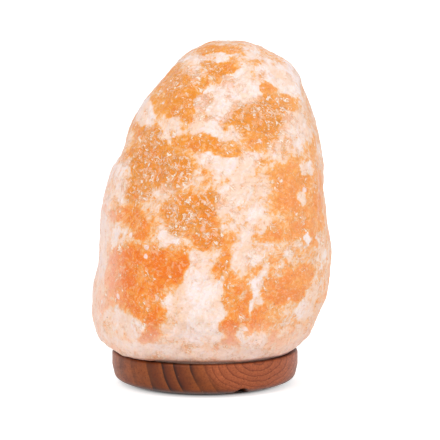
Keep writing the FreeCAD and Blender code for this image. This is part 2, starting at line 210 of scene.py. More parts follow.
# Veins, painted one over another: across, down, half width, half height in the enlarged view,
# tilt in degrees, and from -1 for deep orange to 1 for milky white.
VEINS = (
    (600, 75, 110, 18, 0, -0.7),
    (540, 115, 120, 18, 8, 0.8),
    (620, 155, 80, 26, 0, -0.75),
    (470, 170, 60, 30, 20, 0.1),
    (400, 225, 60, 60, 0, -0.7),
    (430, 300, 65, 90, -10, -0.85),
    (455, 370, 38, 50, 0, -0.9),
    (330, 300, 50, 40, 40, -0.3),
    (640, 250, 120, 60, 25, 0.85),
    (600, 335, 60, 40, 0, 0.8),
    (730, 210, 60, 70, 0, 0.65),
    (510, 300, 32, 32, 0, 0.9),
    (560, 215, 60, 25, 20, -0.2),
    (760, 90, 70, 25, -15, 0.25),
    (820, 125, 50, 30, -30, -0.05),
    (880, 220, 65, 75, -30, 1.0),
    (800, 180, 50, 50, 0, 0.75),
    (805, 265, 35, 45, 0, -0.85),
    (760, 350, 115, 55, 15, -0.95),
    (765, 425, 75, 55, 0, -0.85),
    (875, 310, 50, 35, -30, -0.6),
    (905, 390, 50, 42, 0, 0.95),
    (560, 410, 95, 34, -12, 0.85),
    (400, 410, 60, 35, 30, 0.5),
    (440, 470, 45, 28, 20, -0.7),
    (535, 482, 75, 42, -12, -0.8),
    (630, 508, 60, 18, -5, -0.45),
    (275, 350, 36, 55, 20, 0.95),
    (240, 435, 30, 28, 0, -0.8),
    (310, 455, 50, 40, 0, -0.65),
    (205, 500, 25, 60, -10, 0.2),
    (290, 560, 95, 80, 0, -0.75),
    (390, 585, 75, 75, 0, -0.75),
    (250, 685, 62, 60, 0, -0.6),
    (360, 690, 45, 35, 0, 0.35),
    (175, 650, 34, 75, -15, 0.6),
    (125, 640, 25, 60, -15, 0.5),
    (110, 720, 30, 50, -10, 0.3),
    (190, 790, 65, 26, 20, -0.65),
    (100, 795, 14, 22, 0, -0.7),
    (255, 825, 50, 60, 10, -0.65),
    (140, 865, 42, 36, 0, 0.5),
    (330, 830, 40, 40, 0, 0.15),
    (470, 760, 105, 78, -10, -0.75),
    (535, 850, 58, 62, 0, -0.75),
    (400, 872, 85, 22, -18, 0.45),
    (600, 560, 75, 40, 0, 0.75),
    (560, 640, 65, 45, 0, 0.3),
    (725, 580, 38, 62, -25, 0.95),
    (645, 690, 45, 90, -30, 0.95),
    (740, 660, 70, 55, 0, 0.5),
    (700, 740, 60, 50, 0, 0.55),
    (780, 590, 30, 50, 0, 0.15),
    (900, 665, 72, 115, 0, -0.85),
    (1000, 730, 42, 120, 0, -0.65),
    (975, 605, 24, 28, 0, 0.6),
    (942, 725, 14, 34, 15, 0.65),
    (925, 460, 62, 66, 0, 0.6),
    (850, 510, 50, 40, 0, 0.45),
    (1012, 500, 20, 70, -10, -0.35),
    (905, 850, 92, 52, 0, -0.65),
    (1010, 860, 40, 60, 0, -0.55),
    (835, 830, 40, 40, 0, -0.35),
    (735, 830, 26, 95, -24, 0.85),
    (990, 890, 9, 32, 0, 0.9),
    (905, 960, 20, 22, 0, 1.0),
    (620, 890, 40, 45, 0, -0.45),
    (622, 980, 24, 52, -15, -0.7),
    (705, 960, 42, 60, -10, 0.5),
    (780, 930, 45, 40, -20, 0.25),
    (560, 950, 30, 50, 0, 0.5),
    (210, 1005, 82, 90, 0, -1.0),
    (170, 1090, 62, 62, 0, -0.95),
    (385, 985, 90, 68, -20, -1.0),
    (290, 1060, 60, 70, 0, -0.75),
    (330, 1170, 52, 70, 0, -0.75),
    (225, 1140, 66, 60, 20, -0.85),
    (290, 1200, 52, 52, 0, -0.8),
    (290, 1275, 45, 62, 15, -0.9),
    (100, 1190, 38, 60, 0, -0.45),
    (500, 965, 35, 42, 0, 0.9),
    (505, 1065, 60, 85, 0, 0.8),
    (430, 1150, 65, 65, 20, 0.45),
    (520, 1230, 105, 105, 0, 0.6),
    (592, 1210, 24, 125, -5, 1.0),
    (435, 1285, 60, 42, 0, 0.9),
    (230, 1270, 42, 44, 0, 0.9),
    (150, 1240, 50, 45, 0, 0.45),
    (560, 1110, 40, 60, -20, 0.7),
    (660, 1110, 48, 95, 0, -0.5),
    (650, 1275, 42, 85, 5, -0.85),
    (705, 1180, 45, 60, 0, -0.6),
    (790, 1010, 20, 34, -20, 0.8),
    (752, 1085, 24, 62, -10, 1.0),
    (752, 1160, 20, 45, 0, 0.9),
    (690, 1275, 18, 42, 0, 0.7),
    (875, 1095, 100, 62, 10, -0.95),
    (965, 1050, 48, 50, 0, -0.6),
    (780, 1225, 40, 52, 0, -0.75),
    (870, 1230, 62, 52, 0, -0.15),
    (850, 1310, 45, 40, 0, -0.4),
    (970, 1180, 34, 62, -15, 1.0),
    (905, 1285, 45, 35, 0, 0.2),
    (750, 1335, 55, 38, 0, 0.75),
    (480, 1365, 330, 24, -3, 0.65),
    (560, 1345, 35, 26, 0, -0.2),
    (88, 920, 24, 130, 0, 0.7),
    (72, 1050, 18, 85, 0, 0.5),
    (110, 1315, 50, 30, -30, 0.6),
    (1042, 960, 18, 70, 0, 0.45),
    (1010, 1130, 25, 60, -20, 0.3),
)
# Where the surface is crushed and glitters, as above, with how much.
SPARKLES = (
    (300, 465, 60, 55, 0, 0.8),
    (290, 560, 95, 85, 0, 1.0),
    (395, 600, 85, 80, 0, 1.0),
    (250, 685, 65, 65, 0, 0.9),
    (470, 770, 115, 85, 0, 1.0),
    (560, 720, 55, 45, 0, 0.8),
    (560, 870, 60, 55, 0, 0.7),
    (770, 350, 125, 75, 0, 1.0),
    (560, 190, 110, 50, 0, 0.6),
    (430, 260, 55, 110, 0, 0.55),
    (520, 300, 50, 40, 0, 0.8),
    (600, 370, 80, 25, 10, 0.8),
    (850, 460, 65, 60, 0, 0.55),
    (620, 980, 30, 60, 0, 0.4),
)


def welded(mesh, gap):
    """The mesh with its points joined across a gap in metres, faced outwards and smooth."""
    joined = bmesh.new()
    joined.from_mesh(mesh)
    bmesh.ops.remove_doubles(joined, verts=joined.verts, dist=gap)
    bmesh.ops.recalc_face_normals(joined, faces=joined.faces)
    joined.to_mesh(mesh)
    joined.free()
    mesh.shade_smooth()
    return mesh


def softened(field, reach):
    """A field smoothed over its rows and over its columns, which go all round."""
    side = 3 * reach
    weights = np.exp(-0.5 * (np.arange(-side, side + 1) / reach) ** 2)
    weights /= weights.sum()
    wide = np.hstack((field[:, -side:], field, field[:, :side]))
    field = np.array([np.convolve(row, weights, "valid") for row in wide])
    tall = np.pad(field, ((side, side), (0, 0)), mode="reflect", reflect_type="odd")
    return np.array([np.convolve(column, weights, "valid") for column in tall.T]).T


def cad_surface(turns):
    """The CAD crystal's facets as a smooth grid, from the top down to the foot's edge."""
    shape = NODES["salt_crystal"].data
    tree = BVHTree.FromPolygons([v.co for v in shape.vertices],
                                [tuple(face.vertices) for face in shape.polygons])

    def reach(start, way):
        return FAR - tree.ray_cast(start + way * FAR, -way)[3]

    grid = np.empty((UP, len(turns), 3))
    reaches = np.empty((UP, len(turns)))
    foot = Vector((0, 0, SHOULDER + 0.2 * MM))
    for j, turn in enumerate(turns):
        out = Vector((math.cos(turn), math.sin(turn), 0))
        last = math.atan2(reach(foot, out), SHOULDER - MIDDLE.z)
        for i in range(UP):
            lean = last * i / (UP - 1)
            way = out * math.sin(lean) + Vector((0, 0, math.cos(lean)))
            reaches[i, j] = reach(MIDDLE, way)
            grid[i, j] = way
    reaches[-1] = reaches[-2]
    return np.array(MIDDLE) + grid * softened(reaches, 3)[..., None]


def normals(grid):
    """The normals of a closed grid of rows around Z that runs from the top down."""
    around = np.roll(grid, -1, 1) - np.roll(grid, 1, 1)
    down = np.gradient(grid, axis=0)
    n = np.cross(down, around)
    return n / np.maximum(np.linalg.norm(n, axis=2, keepdims=True), 1e-12)


def noise_at(points, size, seed, octaves=1):
    """Noise of about -1 to 1 at each point, with waves of a size in metres."""
    flat = points.reshape(-1, 3) / size + seed * 17.3
    if octaves > 1:
        values = [noise.fractal(p, 1.0, 2.0, octaves) for p in flat]
    else:
        values = [noise.noise(p) for p in flat]
    return np.array(values).reshape(points.shape[:-1])


def soft(value, low, high):
    t = np.clip((value - low) / (high - low), 0, 1)
    return t * t * (3 - 2 * t)


def hewn(grid, normal):
    """The grid with flats knocked off it: each flat's plane goes a little under the surface."""
    chance = np.random.default_rng(11)
    blank = grid
    for _ in range(130):
        i, j = chance.integers(0, UP), chance.integers(0, AROUND)
        lean = normal[i, j] + chance.normal(0, 0.08, 3)
        lean /= np.linalg.norm(lean)
        depth = chance.uniform(0.2, 1.0) * MM
        over = (grid - grid[i, j]) @ lean + depth
        near = 1 - soft(np.linalg.norm(grid - grid[i, j], axis=2), 0.018, 0.036)
        edge = 0.22 * MM
        grid = grid - (near * edge * np.logaddexp(0, over / edge))[..., None] * lean
    cut = np.linalg.norm(blank - grid, axis=2, keepdims=True)
    return blank + (grid - blank) * MOST_CUT * np.tanh(cut / MOST_CUT) / np.maximum(cut, 1e-9)


def on_front(across, down):
    """Where a point of the enlarged view lies on the crystal's front: its x and height in mm, and
    the size there of one step of that view."""
    focal = LENS / SENSOR * FRAME_SIDE
    middle = FRAME_SIDE / 2
    right = VIEW_LEFT + across / VIEW_ZOOM - middle
    below = VIEW_TOP + down / VIEW_ZOOM - middle
    sight = math.radians(CAMERA_TILT) + math.atan(below / focal)
    y = -FRONT
    for _ in range(4):      # the height and how far the front leans back there soon settle
        z = CAMERA[2] - (y - CAMERA[1]) * math.tan(sight)
        lean = max(z - FRONT_EASE, 0) / (FRONT_TOP - FRONT_EASE)
        y = FRONT_FALL * lean ** 2 - FRONT
    size = (y - CAMERA[1]) / focal / math.cos(math.radians(CAMERA_TILT))
    return CAMERA[0] + right * size, z, size / VIEW_ZOOM


def ellipses(x, z, rows, field, replace=True):
    """A field with soft-edged ellipses painted over it, or raised to them."""
    for across, down, wide, tall, tilt, value in rows:
        cx, cz, step = on_front(across, down)
        rx, rz = max(wide * step, LEAST_VEIN), max(tall * step, LEAST_VEIN)
        a = math.radians(tilt)
        u = ((x - cx) * math.cos(a) + (z - cz) * math.sin(a)) / rx
        w = (-(x - cx) * math.sin(a) + (z - cz) * math.cos(a)) / rz
        share = 1 - soft(np.hypot(u, w), 0.75, 1.35)
        field = field + share * (value - field) if replace else np.maximum(field, share * value)
    return field


def rough_surface(turns):
    """The CAD surface with small flats and a rough skin."""
    outside = cad_surface(turns)
    outside = hewn(outside, normals(outside))
    normal = normals(outside)
    lift = (0.7 * noise_at(outside, 30 * MM, 1) + 0.8 * noise_at(outside, 13 * MM, 2)
            + 0.5 * noise_at(outside, 5.5 * MM, 3, 3) + 0.6) * MM
    share = np.linspace(0, 1, UP)[:, None]
    lift *= soft(1 - share, 0.0, 0.02)
    outside = outside + lift[..., None] * normal
    outside[0] = outside[0].mean(0)
    return outside


def inner_profile():
    """The ground spigot and seat and the drilled cavity, as radius and height from outside in."""
    profile = [(SPIGOT + 0.3 * MM, SHOULDER), (SPIGOT, SHOULDER - 0.3 * MM),
               (SPIGOT, SEAT + 0.5 * MM), (SPIGOT - 0.5 * MM, SEAT)]
    profile += [(r, SEAT) for r in np.linspace(SPIGOT - 3 * MM, CAVITY + 3 * MM, 7)]
    profile += [(CAVITY + 0.8 * MM, SEAT), (CAVITY, SEAT + 0.8 * MM)]
    profile += [(CAVITY, z) for z in np.linspace(SEAT + 3 * MM, CAVITY_TOP - 3 * MM, 40)]
    profile += [(CAVITY - 0.3 * MM, CAVITY_TOP - 0.8 * MM), (CAVITY - 1.2 * MM, CAVITY_TOP)]
    profile += [(r, CAVITY_TOP) for r in np.linspace(CAVITY - 4 * MM, 2 * MM, 8)]
    return profile + [(0.0, CAVITY_TOP)]


def salt_fields(grid):
    """What the material's pattern starts from at each point: how milky the salt is, how much it
    glitters, and whether it is a cut face. The front has the veins, the rest a free pattern."""
    x, z = grid[..., 0] / MM, grid[..., 2] / MM
    inner = np.arange(len(grid))[:, None] >= UP
    front = np.where(inner, 0, soft(-normals(grid)[..., 1], -0.35, -0.05))
    push = [3.0 * noise_at(grid, 11 * MM, 20 + k, 2) + 1.6 * noise_at(grid, 4.5 * MM, 30 + k, 2)
            for k in range(2)]
    veins = ellipses(x + push[0], z + push[1], VEINS, np.zeros_like(x))
    glitter = ellipses(x + push[0], z + push[1], SPARKLES, np.full_like(x, 0.12), False)
    wild = 1.9 * noise_at(grid * np.array((1.2, 1.2, 0.7)), 24 * MM, 5, 3) + 0.1
    wild_glitter = soft(noise_at(grid, 22 * MM, 6), 0.0, 0.5) * soft(-wild, -0.3, 0.3)
    return {
        "milky": veins * front + np.clip(wild, -1, 1) * (1 - front),
        "glitter": glitter * front + wild_glitter * (1 - front),
        "cut": inner * np.ones_like(x),
    }


def crystal_mesh():
    turns = np.arange(AROUND) * 2 * math.pi / AROUND
    inside = np.array([[(r * math.cos(a), r * math.sin(a), z) for a in turns]
                       for r, z in inner_profile()])
    grid = np.vstack((rough_surface(turns), inside))
    faces = []
    for i in range(len(grid) - 1):
        for j in range(AROUND):
            on = (j + 1) % AROUND
            faces.append((i * AROUND + j, (i + 1) * AROUND + j, (i + 1) * AROUND + on,
                          i * AROUND + on))
    mesh = bpy.data.meshes.new("salt_rock")
    mesh.from_pydata(grid.reshape(-1, 3).tolist(), [], faces)
    for key, field in salt_fields(grid).items():
        layer = mesh.attributes.new(key, "FLOAT", "POINT")
        layer.data.foreach_set("value", np.ascontiguousarray(field, np.float32).ravel())
    return welded(mesh, 0.005 * MM)


def salt_level(g, place, long, cloud):
    """How pale the salt is, from about 0 for orange to 1 for white."""
    level = g.add(g.times(g.attribute("milky"), 0.36), 0.52)
    level = g.add(level, g.times(cloud, 0.90))
    level = g.add(level, g.swing(g.noise(260, 4, 0.60, place=long), 0.62))
    level = g.add(level, g.swing(g.noise(620, 3, 0.6, place=place), 0.42))
    level = g.add(level, g.swing(g.chance(360, place), 0.10))
    level = g.add(level, g.swing(g.chance(850, place), 0.12))
    return level


def salt_ground(g, place, long, cloud, level, pale):
    """The colours of the orange and the pale salt."""
    colour = g.ramp(level,
                    (0.12, tint(240, 120, 18)), (0.26, tint(245, 141, 44)),
                    (0.40, tint(247, 158, 72)), (0.47, tint(247, 178, 112)),
                    (0.55, tint(248, 199, 156)), (0.63, tint(248, 212, 190)),
                    (0.74, tint(250, 223, 210)), (0.92, tint(252, 236, 233)))
    # The pale parts are pinker or creamier, the orange ones ochre higher up and redder in spots.
    orange = g.step(level, 0.56, 0.36)
    creamy = g.step(g.noise(48, 3, 0.5), 0.48, 0.60)
    colour = g.mix(g.times(g.times(pale, creamy), 0.25), colour, tint(252, 218, 188))
    veil = g.noise(120, 4, 0.6, place=g.moved(shift=(0.23, 0.05, 0.31), place=long))
    peach = g.times(g.step(veil, 0.50, 0.40), pale)
    colour = g.mix(g.times(peach, 0.55), colour, tint(249, 206, 174))
    colour = g.mix(g.times(g.times(g.step(veil, 0.52, 0.62), pale), 0.7), colour,
                   tint(253, 239, 237))
    height = g.axis("Z")
    ochre = g.step(g.add(height, g.times(cloud, 0.06)), 0.080, 0.165)
    colour = g.mix(g.times(g.times(ochre, orange), 0.55), colour, tint(236, 158, 44))
    red = g.times(g.step(g.noise(170, 4, 0.6, place=place), 0.54, 0.62), orange)
    colour = g.mix(g.times(red, 0.40), colour, tint(236, 112, 34))
    # Painted light: the orange is lighter towards the right side, as if more light fell there.
    right = g.times(g.step(g.axis("X"), 0.005, 0.050), orange)
    colour = g.mix(g.times(right, 0.35), colour, tint(251, 182, 122))
    # Painted light: a faint pink towards the left edge and the foot, for the glow at the edge and
    # to lift the shaded underside.
    edge_and_foot_light = g.math("MAXIMUM", g.step(g.axis("X"), -0.042, -0.064), g.step(height, 0.050, 0.026))
    colour = g.mix(g.times(edge_and_foot_light, 0.62), colour, tint(255, 222, 208))
    return colour


def salt_marks(g, place, level, pale, colour):
    """The colour with curls, grains, specks, flecks and seams on it."""
    # Thin pale curls on the orange, pinkish white grains and small dark specks.
    curl = g.math("ABSOLUTE", g.swing(g.noise(210, 1, 0.5, 2.2, place=place), 1.0))
    curl = g.times(g.step(curl, 0.020, 0.008), g.step(g.noise(260, 2, place=place), 0.50, 0.58))
    colour = g.mix(g.times(curl, 0.55), colour, tint(253, 218, 184))
    grain = g.step(g.cells(120, place=place), 0.24, 0.17)
    grain = g.times(grain, g.step(g.chance(120, place), 0.80, 0.82))
    colour = g.mix(g.times(grain, 0.85), colour, tint(250, 228, 224))
    speck = g.step(g.cells(300, place=place), 0.17, 0.10)
    speck = g.times(speck, g.step(g.chance(300, place), 0.93, 0.94))
    colour = g.mix(g.times(speck, 0.55), colour, tint(150, 116, 92))
    # Fine flecks, lighter and darker.
    fleck = g.step(g.noise(640, 2, place=place), 0.55, 0.63)
    colour = g.mix(g.times(fleck, 0.30), colour, tint(254, 222, 184))
    dark = g.moved(shift=(0.12, 0.41, 0.05), place=place)
    dark = g.step(g.noise(560, 2, place=dark), 0.56, 0.64)
    darker = g.mix(pale, tint(222, 128, 34), tint(240, 196, 176))
    colour = g.mix(g.times(dark, 0.30), colour, darker)
    # Thin darker seams round the pale veins.
    seam = g.math("ABSOLUTE", g.math("SUBTRACT", level, 0.58))
    seam = g.times(g.step(seam, 0.026, 0.006), g.step(g.noise(140, 3, 0.6), 0.50, 0.60))
    colour = g.mix(g.times(seam, 0.40), colour, tint(214, 158, 122))
    return colour


def crushed_salt(g, place, glitter, colour):
    """The colour with crushed places on it, and where their chips are lit."""
    # Golden, with curled pinkish chips, and cracks with brown edges.
    clump = g.add(g.noise(110, 4, 0.65, place=place), g.times(glitter, 0.30))
    other_place = g.moved(shift=(0.31, 0.12, 0.23), place=place)
    crushed = g.step(clump, 0.58, 0.74)
    colour = g.mix(g.times(crushed, 0.50), colour, tint(243, 146, 38))
    ragged = g.moved(scale=(1, 1, 0.70), place=g.moved(turn=(0, 0.7, 0), place=place))
    ragged = g.warped(390, 3.0 * MM, 4, place=ragged)
    blob = g.times(g.step(g.cells(230, place=ragged), 0.46, 0.32),
                   g.step(g.chance(230, ragged), 0.44, 0.48))
    blob = g.times(blob, g.step(clump, 0.54, 0.64))
    colour = g.mix(g.times(blob, 0.48), colour, tint(251, 204, 170))
    bit = g.cells(370, place=ragged)
    chance = g.chance(370, ragged)
    picked = g.times(g.step(chance, 0.22, 0.26), g.step(clump, 0.55, 0.62))
    line = g.math("ABSOLUTE", g.swing(g.noise(170, 2, 0.5, 1.8, place=place), 1.0))
    line = g.times(g.step(line, 0.034, 0.018), g.step(clump, 0.60, 0.68))
    line = g.times(line, g.step(g.noise(300, 1, place=other_place), 0.45, 0.51))
    lit = g.math("MAXIMUM", g.times(g.step(bit, 0.36, 0.26), picked), line)
    crack = g.math("ABSOLUTE", g.swing(g.noise(210, 3, 0.55, 1.5, place=other_place), 1.0))
    crack = g.times(g.step(crack, 0.024, 0.008), crushed)
    crack = g.math("MAXIMUM", crack, g.times(g.times(g.step(bit, 0.56, 0.46), picked), 0.6))
    colour = g.mix(g.times(crack, 0.55), colour, tint(198, 130, 38))
    # Painted glints: the lit chips are painted pale cream.
    colour = g.mix(g.times(lit, g.step(chance, 0.3, 1.0, 0.45, 0.95)), colour,
                   tint(254, 237, 222))
    return colour, lit


def salt_material():
    g = Graph("rock_salt", roughness=0.5, ior=1.54, specular_ior_level=0.25,
              subsurface_weight=0.08, subsurface_radius=(1.0, 0.45, 0.25),
              subsurface_scale=1.2 * MM, sheen_weight=0.5, sheen_roughness=0.4,
              sheen_tint=tint(255, 236, 238))
    place = g.warped(110, 3.0 * MM, 4)
    place = g.warped(420, 0.9 * MM, 3, place=place)
    glitter = g.attribute("glitter")
    cloud = g.swing(g.noise(95, 6, 0.60, place=place), 1.0)
    tilted = g.moved(turn=(0, math.radians(-28), 0), place=place)
    long = g.moved(scale=(1.0, 1.0, 0.22), place=tilted)
    level = salt_level(g, place, long, cloud)
    pale = g.step(level, 0.50, 0.70)
    colour = salt_ground(g, place, long, cloud, level, pale)
    colour = salt_marks(g, place, level, pale, colour)
    colour, lit = crushed_salt(g, place, glitter, colour)
    # A brown line of painted shade where the salt meets the wood.
    joint_shade = g.step(g.axis("Z"), SHOULDER + 2.4 * MM, SHOULDER + 0.8 * MM)
    colour = g.mix(g.times(joint_shade, 0.7), colour, tint(190, 104, 62))
    # The drilled cavity and the ground seat are paler, with fine tool marks.
    cut = g.attribute("cut")
    colour = g.mix(g.times(cut, 0.45), colour, tint(244, 218, 200))
    rough = g.add(g.step(level, 0.2, 0.9, 0.42, 0.60), g.times(lit, -0.12))
    crush = g.times(g.noise(300, 4, 0.6, 1.2, place=place), g.add(g.times(glitter, 0.8), 0.2))
    normal = g.bump((g.noise(120, 4, 0.55, place=place), 1.1 * MM),
                    (g.facets(150, place), 0.7 * MM), (g.facets(380, place), 0.25 * MM),
                    (crush, 1.0 * MM))
    return g.finish(base_color=colour, roughness=rough, normal=normal)


rock = bpy.data.objects.new("salt_rock", crystal_mesh())
bpy.context.scene.collection.objects.link(rock)
rock.data.materials.append(salt_material())
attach(rock, "root")
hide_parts("salt_crystal")


# ---- turned pieces ----
def rounded(corners, steps=6):
    """The points of a closed outline of (radius, height, fillet) corners, in mm."""
    points = []
    for k, (r, z, fillet) in enumerate(corners):
        here = np.array((r, z))
        back = np.array(corners[k - 1][:2]) - here
        on = np.array(corners[(k + 1) % len(corners)][:2]) - here
        back, on = back / np.linalg.norm(back), on / np.linalg.norm(on)
        half = math.acos(np.clip(back @ on, -1, 1)) / 2
        if not fillet or half > 1.56:
            points.append(here)
            continue
        cut = fillet / math.tan(half)
        centre = here + (back + on) / np.linalg.norm(back + on) * fillet / math.sin(half)
        start, end = here + back * cut - centre, here + on * cut - centre
        for t in np.linspace(0, 1, steps + 1):
            arm = start * (1 - t) + end * t
            points.append(centre + arm / np.linalg.norm(arm) * fillet)
    return points


def even(points, most, closed=True):
    """An outline with its long runs divided."""
    points = [np.array(point, float) for point in points]
    result = []
    for point, on in zip(points, points[1:] + points[:1] if closed else points[1:]):
        count = max(1, math.ceil(np.linalg.norm(on - point) / most))
        result += [point + (on - point) * i / count for i in range(count)]
    return result if closed else result + points[-1:]


def turned(name, outline, columns=180, closed=True, lift=None):
    """A mesh turned about Z from an outline in mm. A closed outline stays clear of the axis, and
    an open one starts and ends on it. A lift moves the surface outwards, by radius, height and
    turn."""
    mesh = bpy.data.meshes.new(name)
    count = len(outline)
    points, faces = [], []
    for j in range(columns):
        a = 2 * math.pi * j / columns
        for r, z in outline:
            r += lift(r, z, a) if lift else 0
            points.append((r * math.cos(a) * MM, r * math.sin(a) * MM, z * MM))
        for i in range(count if closed else count - 1):
            on, next_ = (j + 1) % columns, (i + 1) % count
            faces.append((j * count + i, on * count + i, on * count + next_, j * count + next_))
    mesh.from_pydata(points, [], faces)
    return mesh


def tidied(mesh, angle=35):
    """The mesh welded, and smooth but for the edges sharper than an angle in degrees."""
    welded(mesh, 0.001 * MM)
    mesh.set_sharp_from_angle(angle=math.radians(angle))
    return mesh


def shown(mesh, body, slot, material, *replaced):
    piece = bpy.data.objects.new(mesh.name, mesh)
    bpy.context.scene.collection.objects.link(piece)
    mesh.materials.append(material)
    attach(piece, body)
    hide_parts(*replaced)
    return piece


def without(mesh, *cutters):
    """The mesh with the cutters' meshes taken out of it."""
    body = bpy.data.objects.new("blank", mesh)
    bpy.context.scene.collection.objects.link(body)
    tools = []
    for cutter in cutters:
        tool = bpy.data.objects.new("cutter", cutter)
        bpy.context.scene.collection.objects.link(tool)
        tools.append(tool)
        step = body.modifiers.new("cut", "BOOLEAN")
        step.operation = "DIFFERENCE"
        step.solver = "EXACT"
        step.object = tool
    bpy.context.view_layer.update()
    graph = bpy.context.evaluated_depsgraph_get()
    result = bpy.data.meshes.new_from_object(body.evaluated_get(graph))
    result.name = mesh.name
    for gone in (body, *tools):
        bpy.data.objects.remove(gone)
    return result


def cylinder(radius, length, place, turn=None, segments=48):
    """A cutter: a cylinder along +Z from a place, or along a turn from +X."""
    tool = bmesh.new()
    bmesh.ops.create_cone(tool, cap_ends=True, segments=segments, radius1=radius * MM,
                          radius2=radius * MM, depth=length * MM)
    bmesh.ops.translate(tool, verts=tool.verts, vec=(0, 0, length * MM / 2))
    if turn is not None:
        tilt = Matrix.Rotation(turn, 3, "Z") @ Matrix.Rotation(math.pi / 2, 3, "Y")
        bmesh.ops.rotate(tool, verts=tool.verts, cent=(0, 0, 0), matrix=tilt)
    bmesh.ops.translate(tool, verts=tool.verts, vec=Vector(place) * MM)
    mesh = bpy.data.meshes.new("cutter")
    tool.to_mesh(mesh)
    tool.free()
    return mesh


# ---- the wooden base ----
# Sizes in mm, the same as the solid's.
GROOVE = math.radians(25 - 90)        # the cord groove's turn from +X
GROOVE_RADIUS, GROOVE_START, GROOVE_LENGTH, GROOVE_HEIGHT = 5.6, 12, 60, -0.3
RIM, DISH_DEPTH, ROOF_DEPTH = 3.8, 3.0, 7.8
BORE, RECESS = 20.0, 24.5
SCREW_CIRCLE, SCREW_HOLE, SCREW_HOLE_TOP = 33, 2.3, 20
COUNTERBORE, COUNTERBORE_TOP = 4.6, 8.2
SCREWS = [GROOVE + math.radians(90 + 120 * i) for i in range(3)]


def about(radius, turn, z):
    """A place at a radius and a turn round Z."""
    return (radius * math.cos(turn), radius * math.sin(turn), z)


def relief():
    """The shallow cut beside the groove's mouth, as a cutter."""
    section = ((0, 0.4), (-11.6, 0.4), (-11.0, 1.2), (-8.0, 2.2), (-2.0, 2.35), (0, 2.3))
    turn = Matrix.Rotation(GROOVE, 3, "Z")
    points = [turn @ Vector((x, y, z)) * MM for x in (38, 58) for y, z in section]
    count = len(section)
    faces = [tuple(range(count))[::-1], tuple(range(count, 2 * count))]
    faces += [(i, (i + 1) % count, (i + 1) % count + count, i + count) for i in range(count)]
    mesh = bpy.data.meshes.new("cutter")
    mesh.from_pydata(points, [], faces)
    return tidied(mesh)


def base_mesh():
    low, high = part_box("wooden_base")
    side, bottom, top = high.x / MM, low.z / MM, high.z / MM
    seat, roof = top - DISH_DEPTH, top - ROOF_DEPTH
    corners = ((side - 8.6, bottom, 9.0), (side - 1.8, bottom + 2.6, 5.0),
               (side, bottom + 10.5, 9.0), (side, top, 1.8),
               (side - RIM, top, 0.4), (side - RIM, seat, 0.6), (BORE, seat, 0.7),
               (BORE, roof, 0.3), (RECESS, roof, 0.4), (RECESS, bottom, 0.8))
    blank = tidied(turned("wood_base", even(rounded(corners), 2.0), 240))
    mouth = about(GROOVE_START, GROOVE, GROOVE_HEIGHT)
    cutters = [cylinder(GROOVE_RADIUS, GROOVE_LENGTH, mouth, GROOVE, 64), relief()]
    for turn in SCREWS:
        foot = about(SCREW_CIRCLE, turn, 0)
        cutters.append(cylinder(COUNTERBORE, COUNTERBORE_TOP, foot))
        cutters.append(cylinder(SCREW_HOLE, SCREW_HOLE_TOP, foot, segments=24))
    return tidied(without(blank, *cutters))


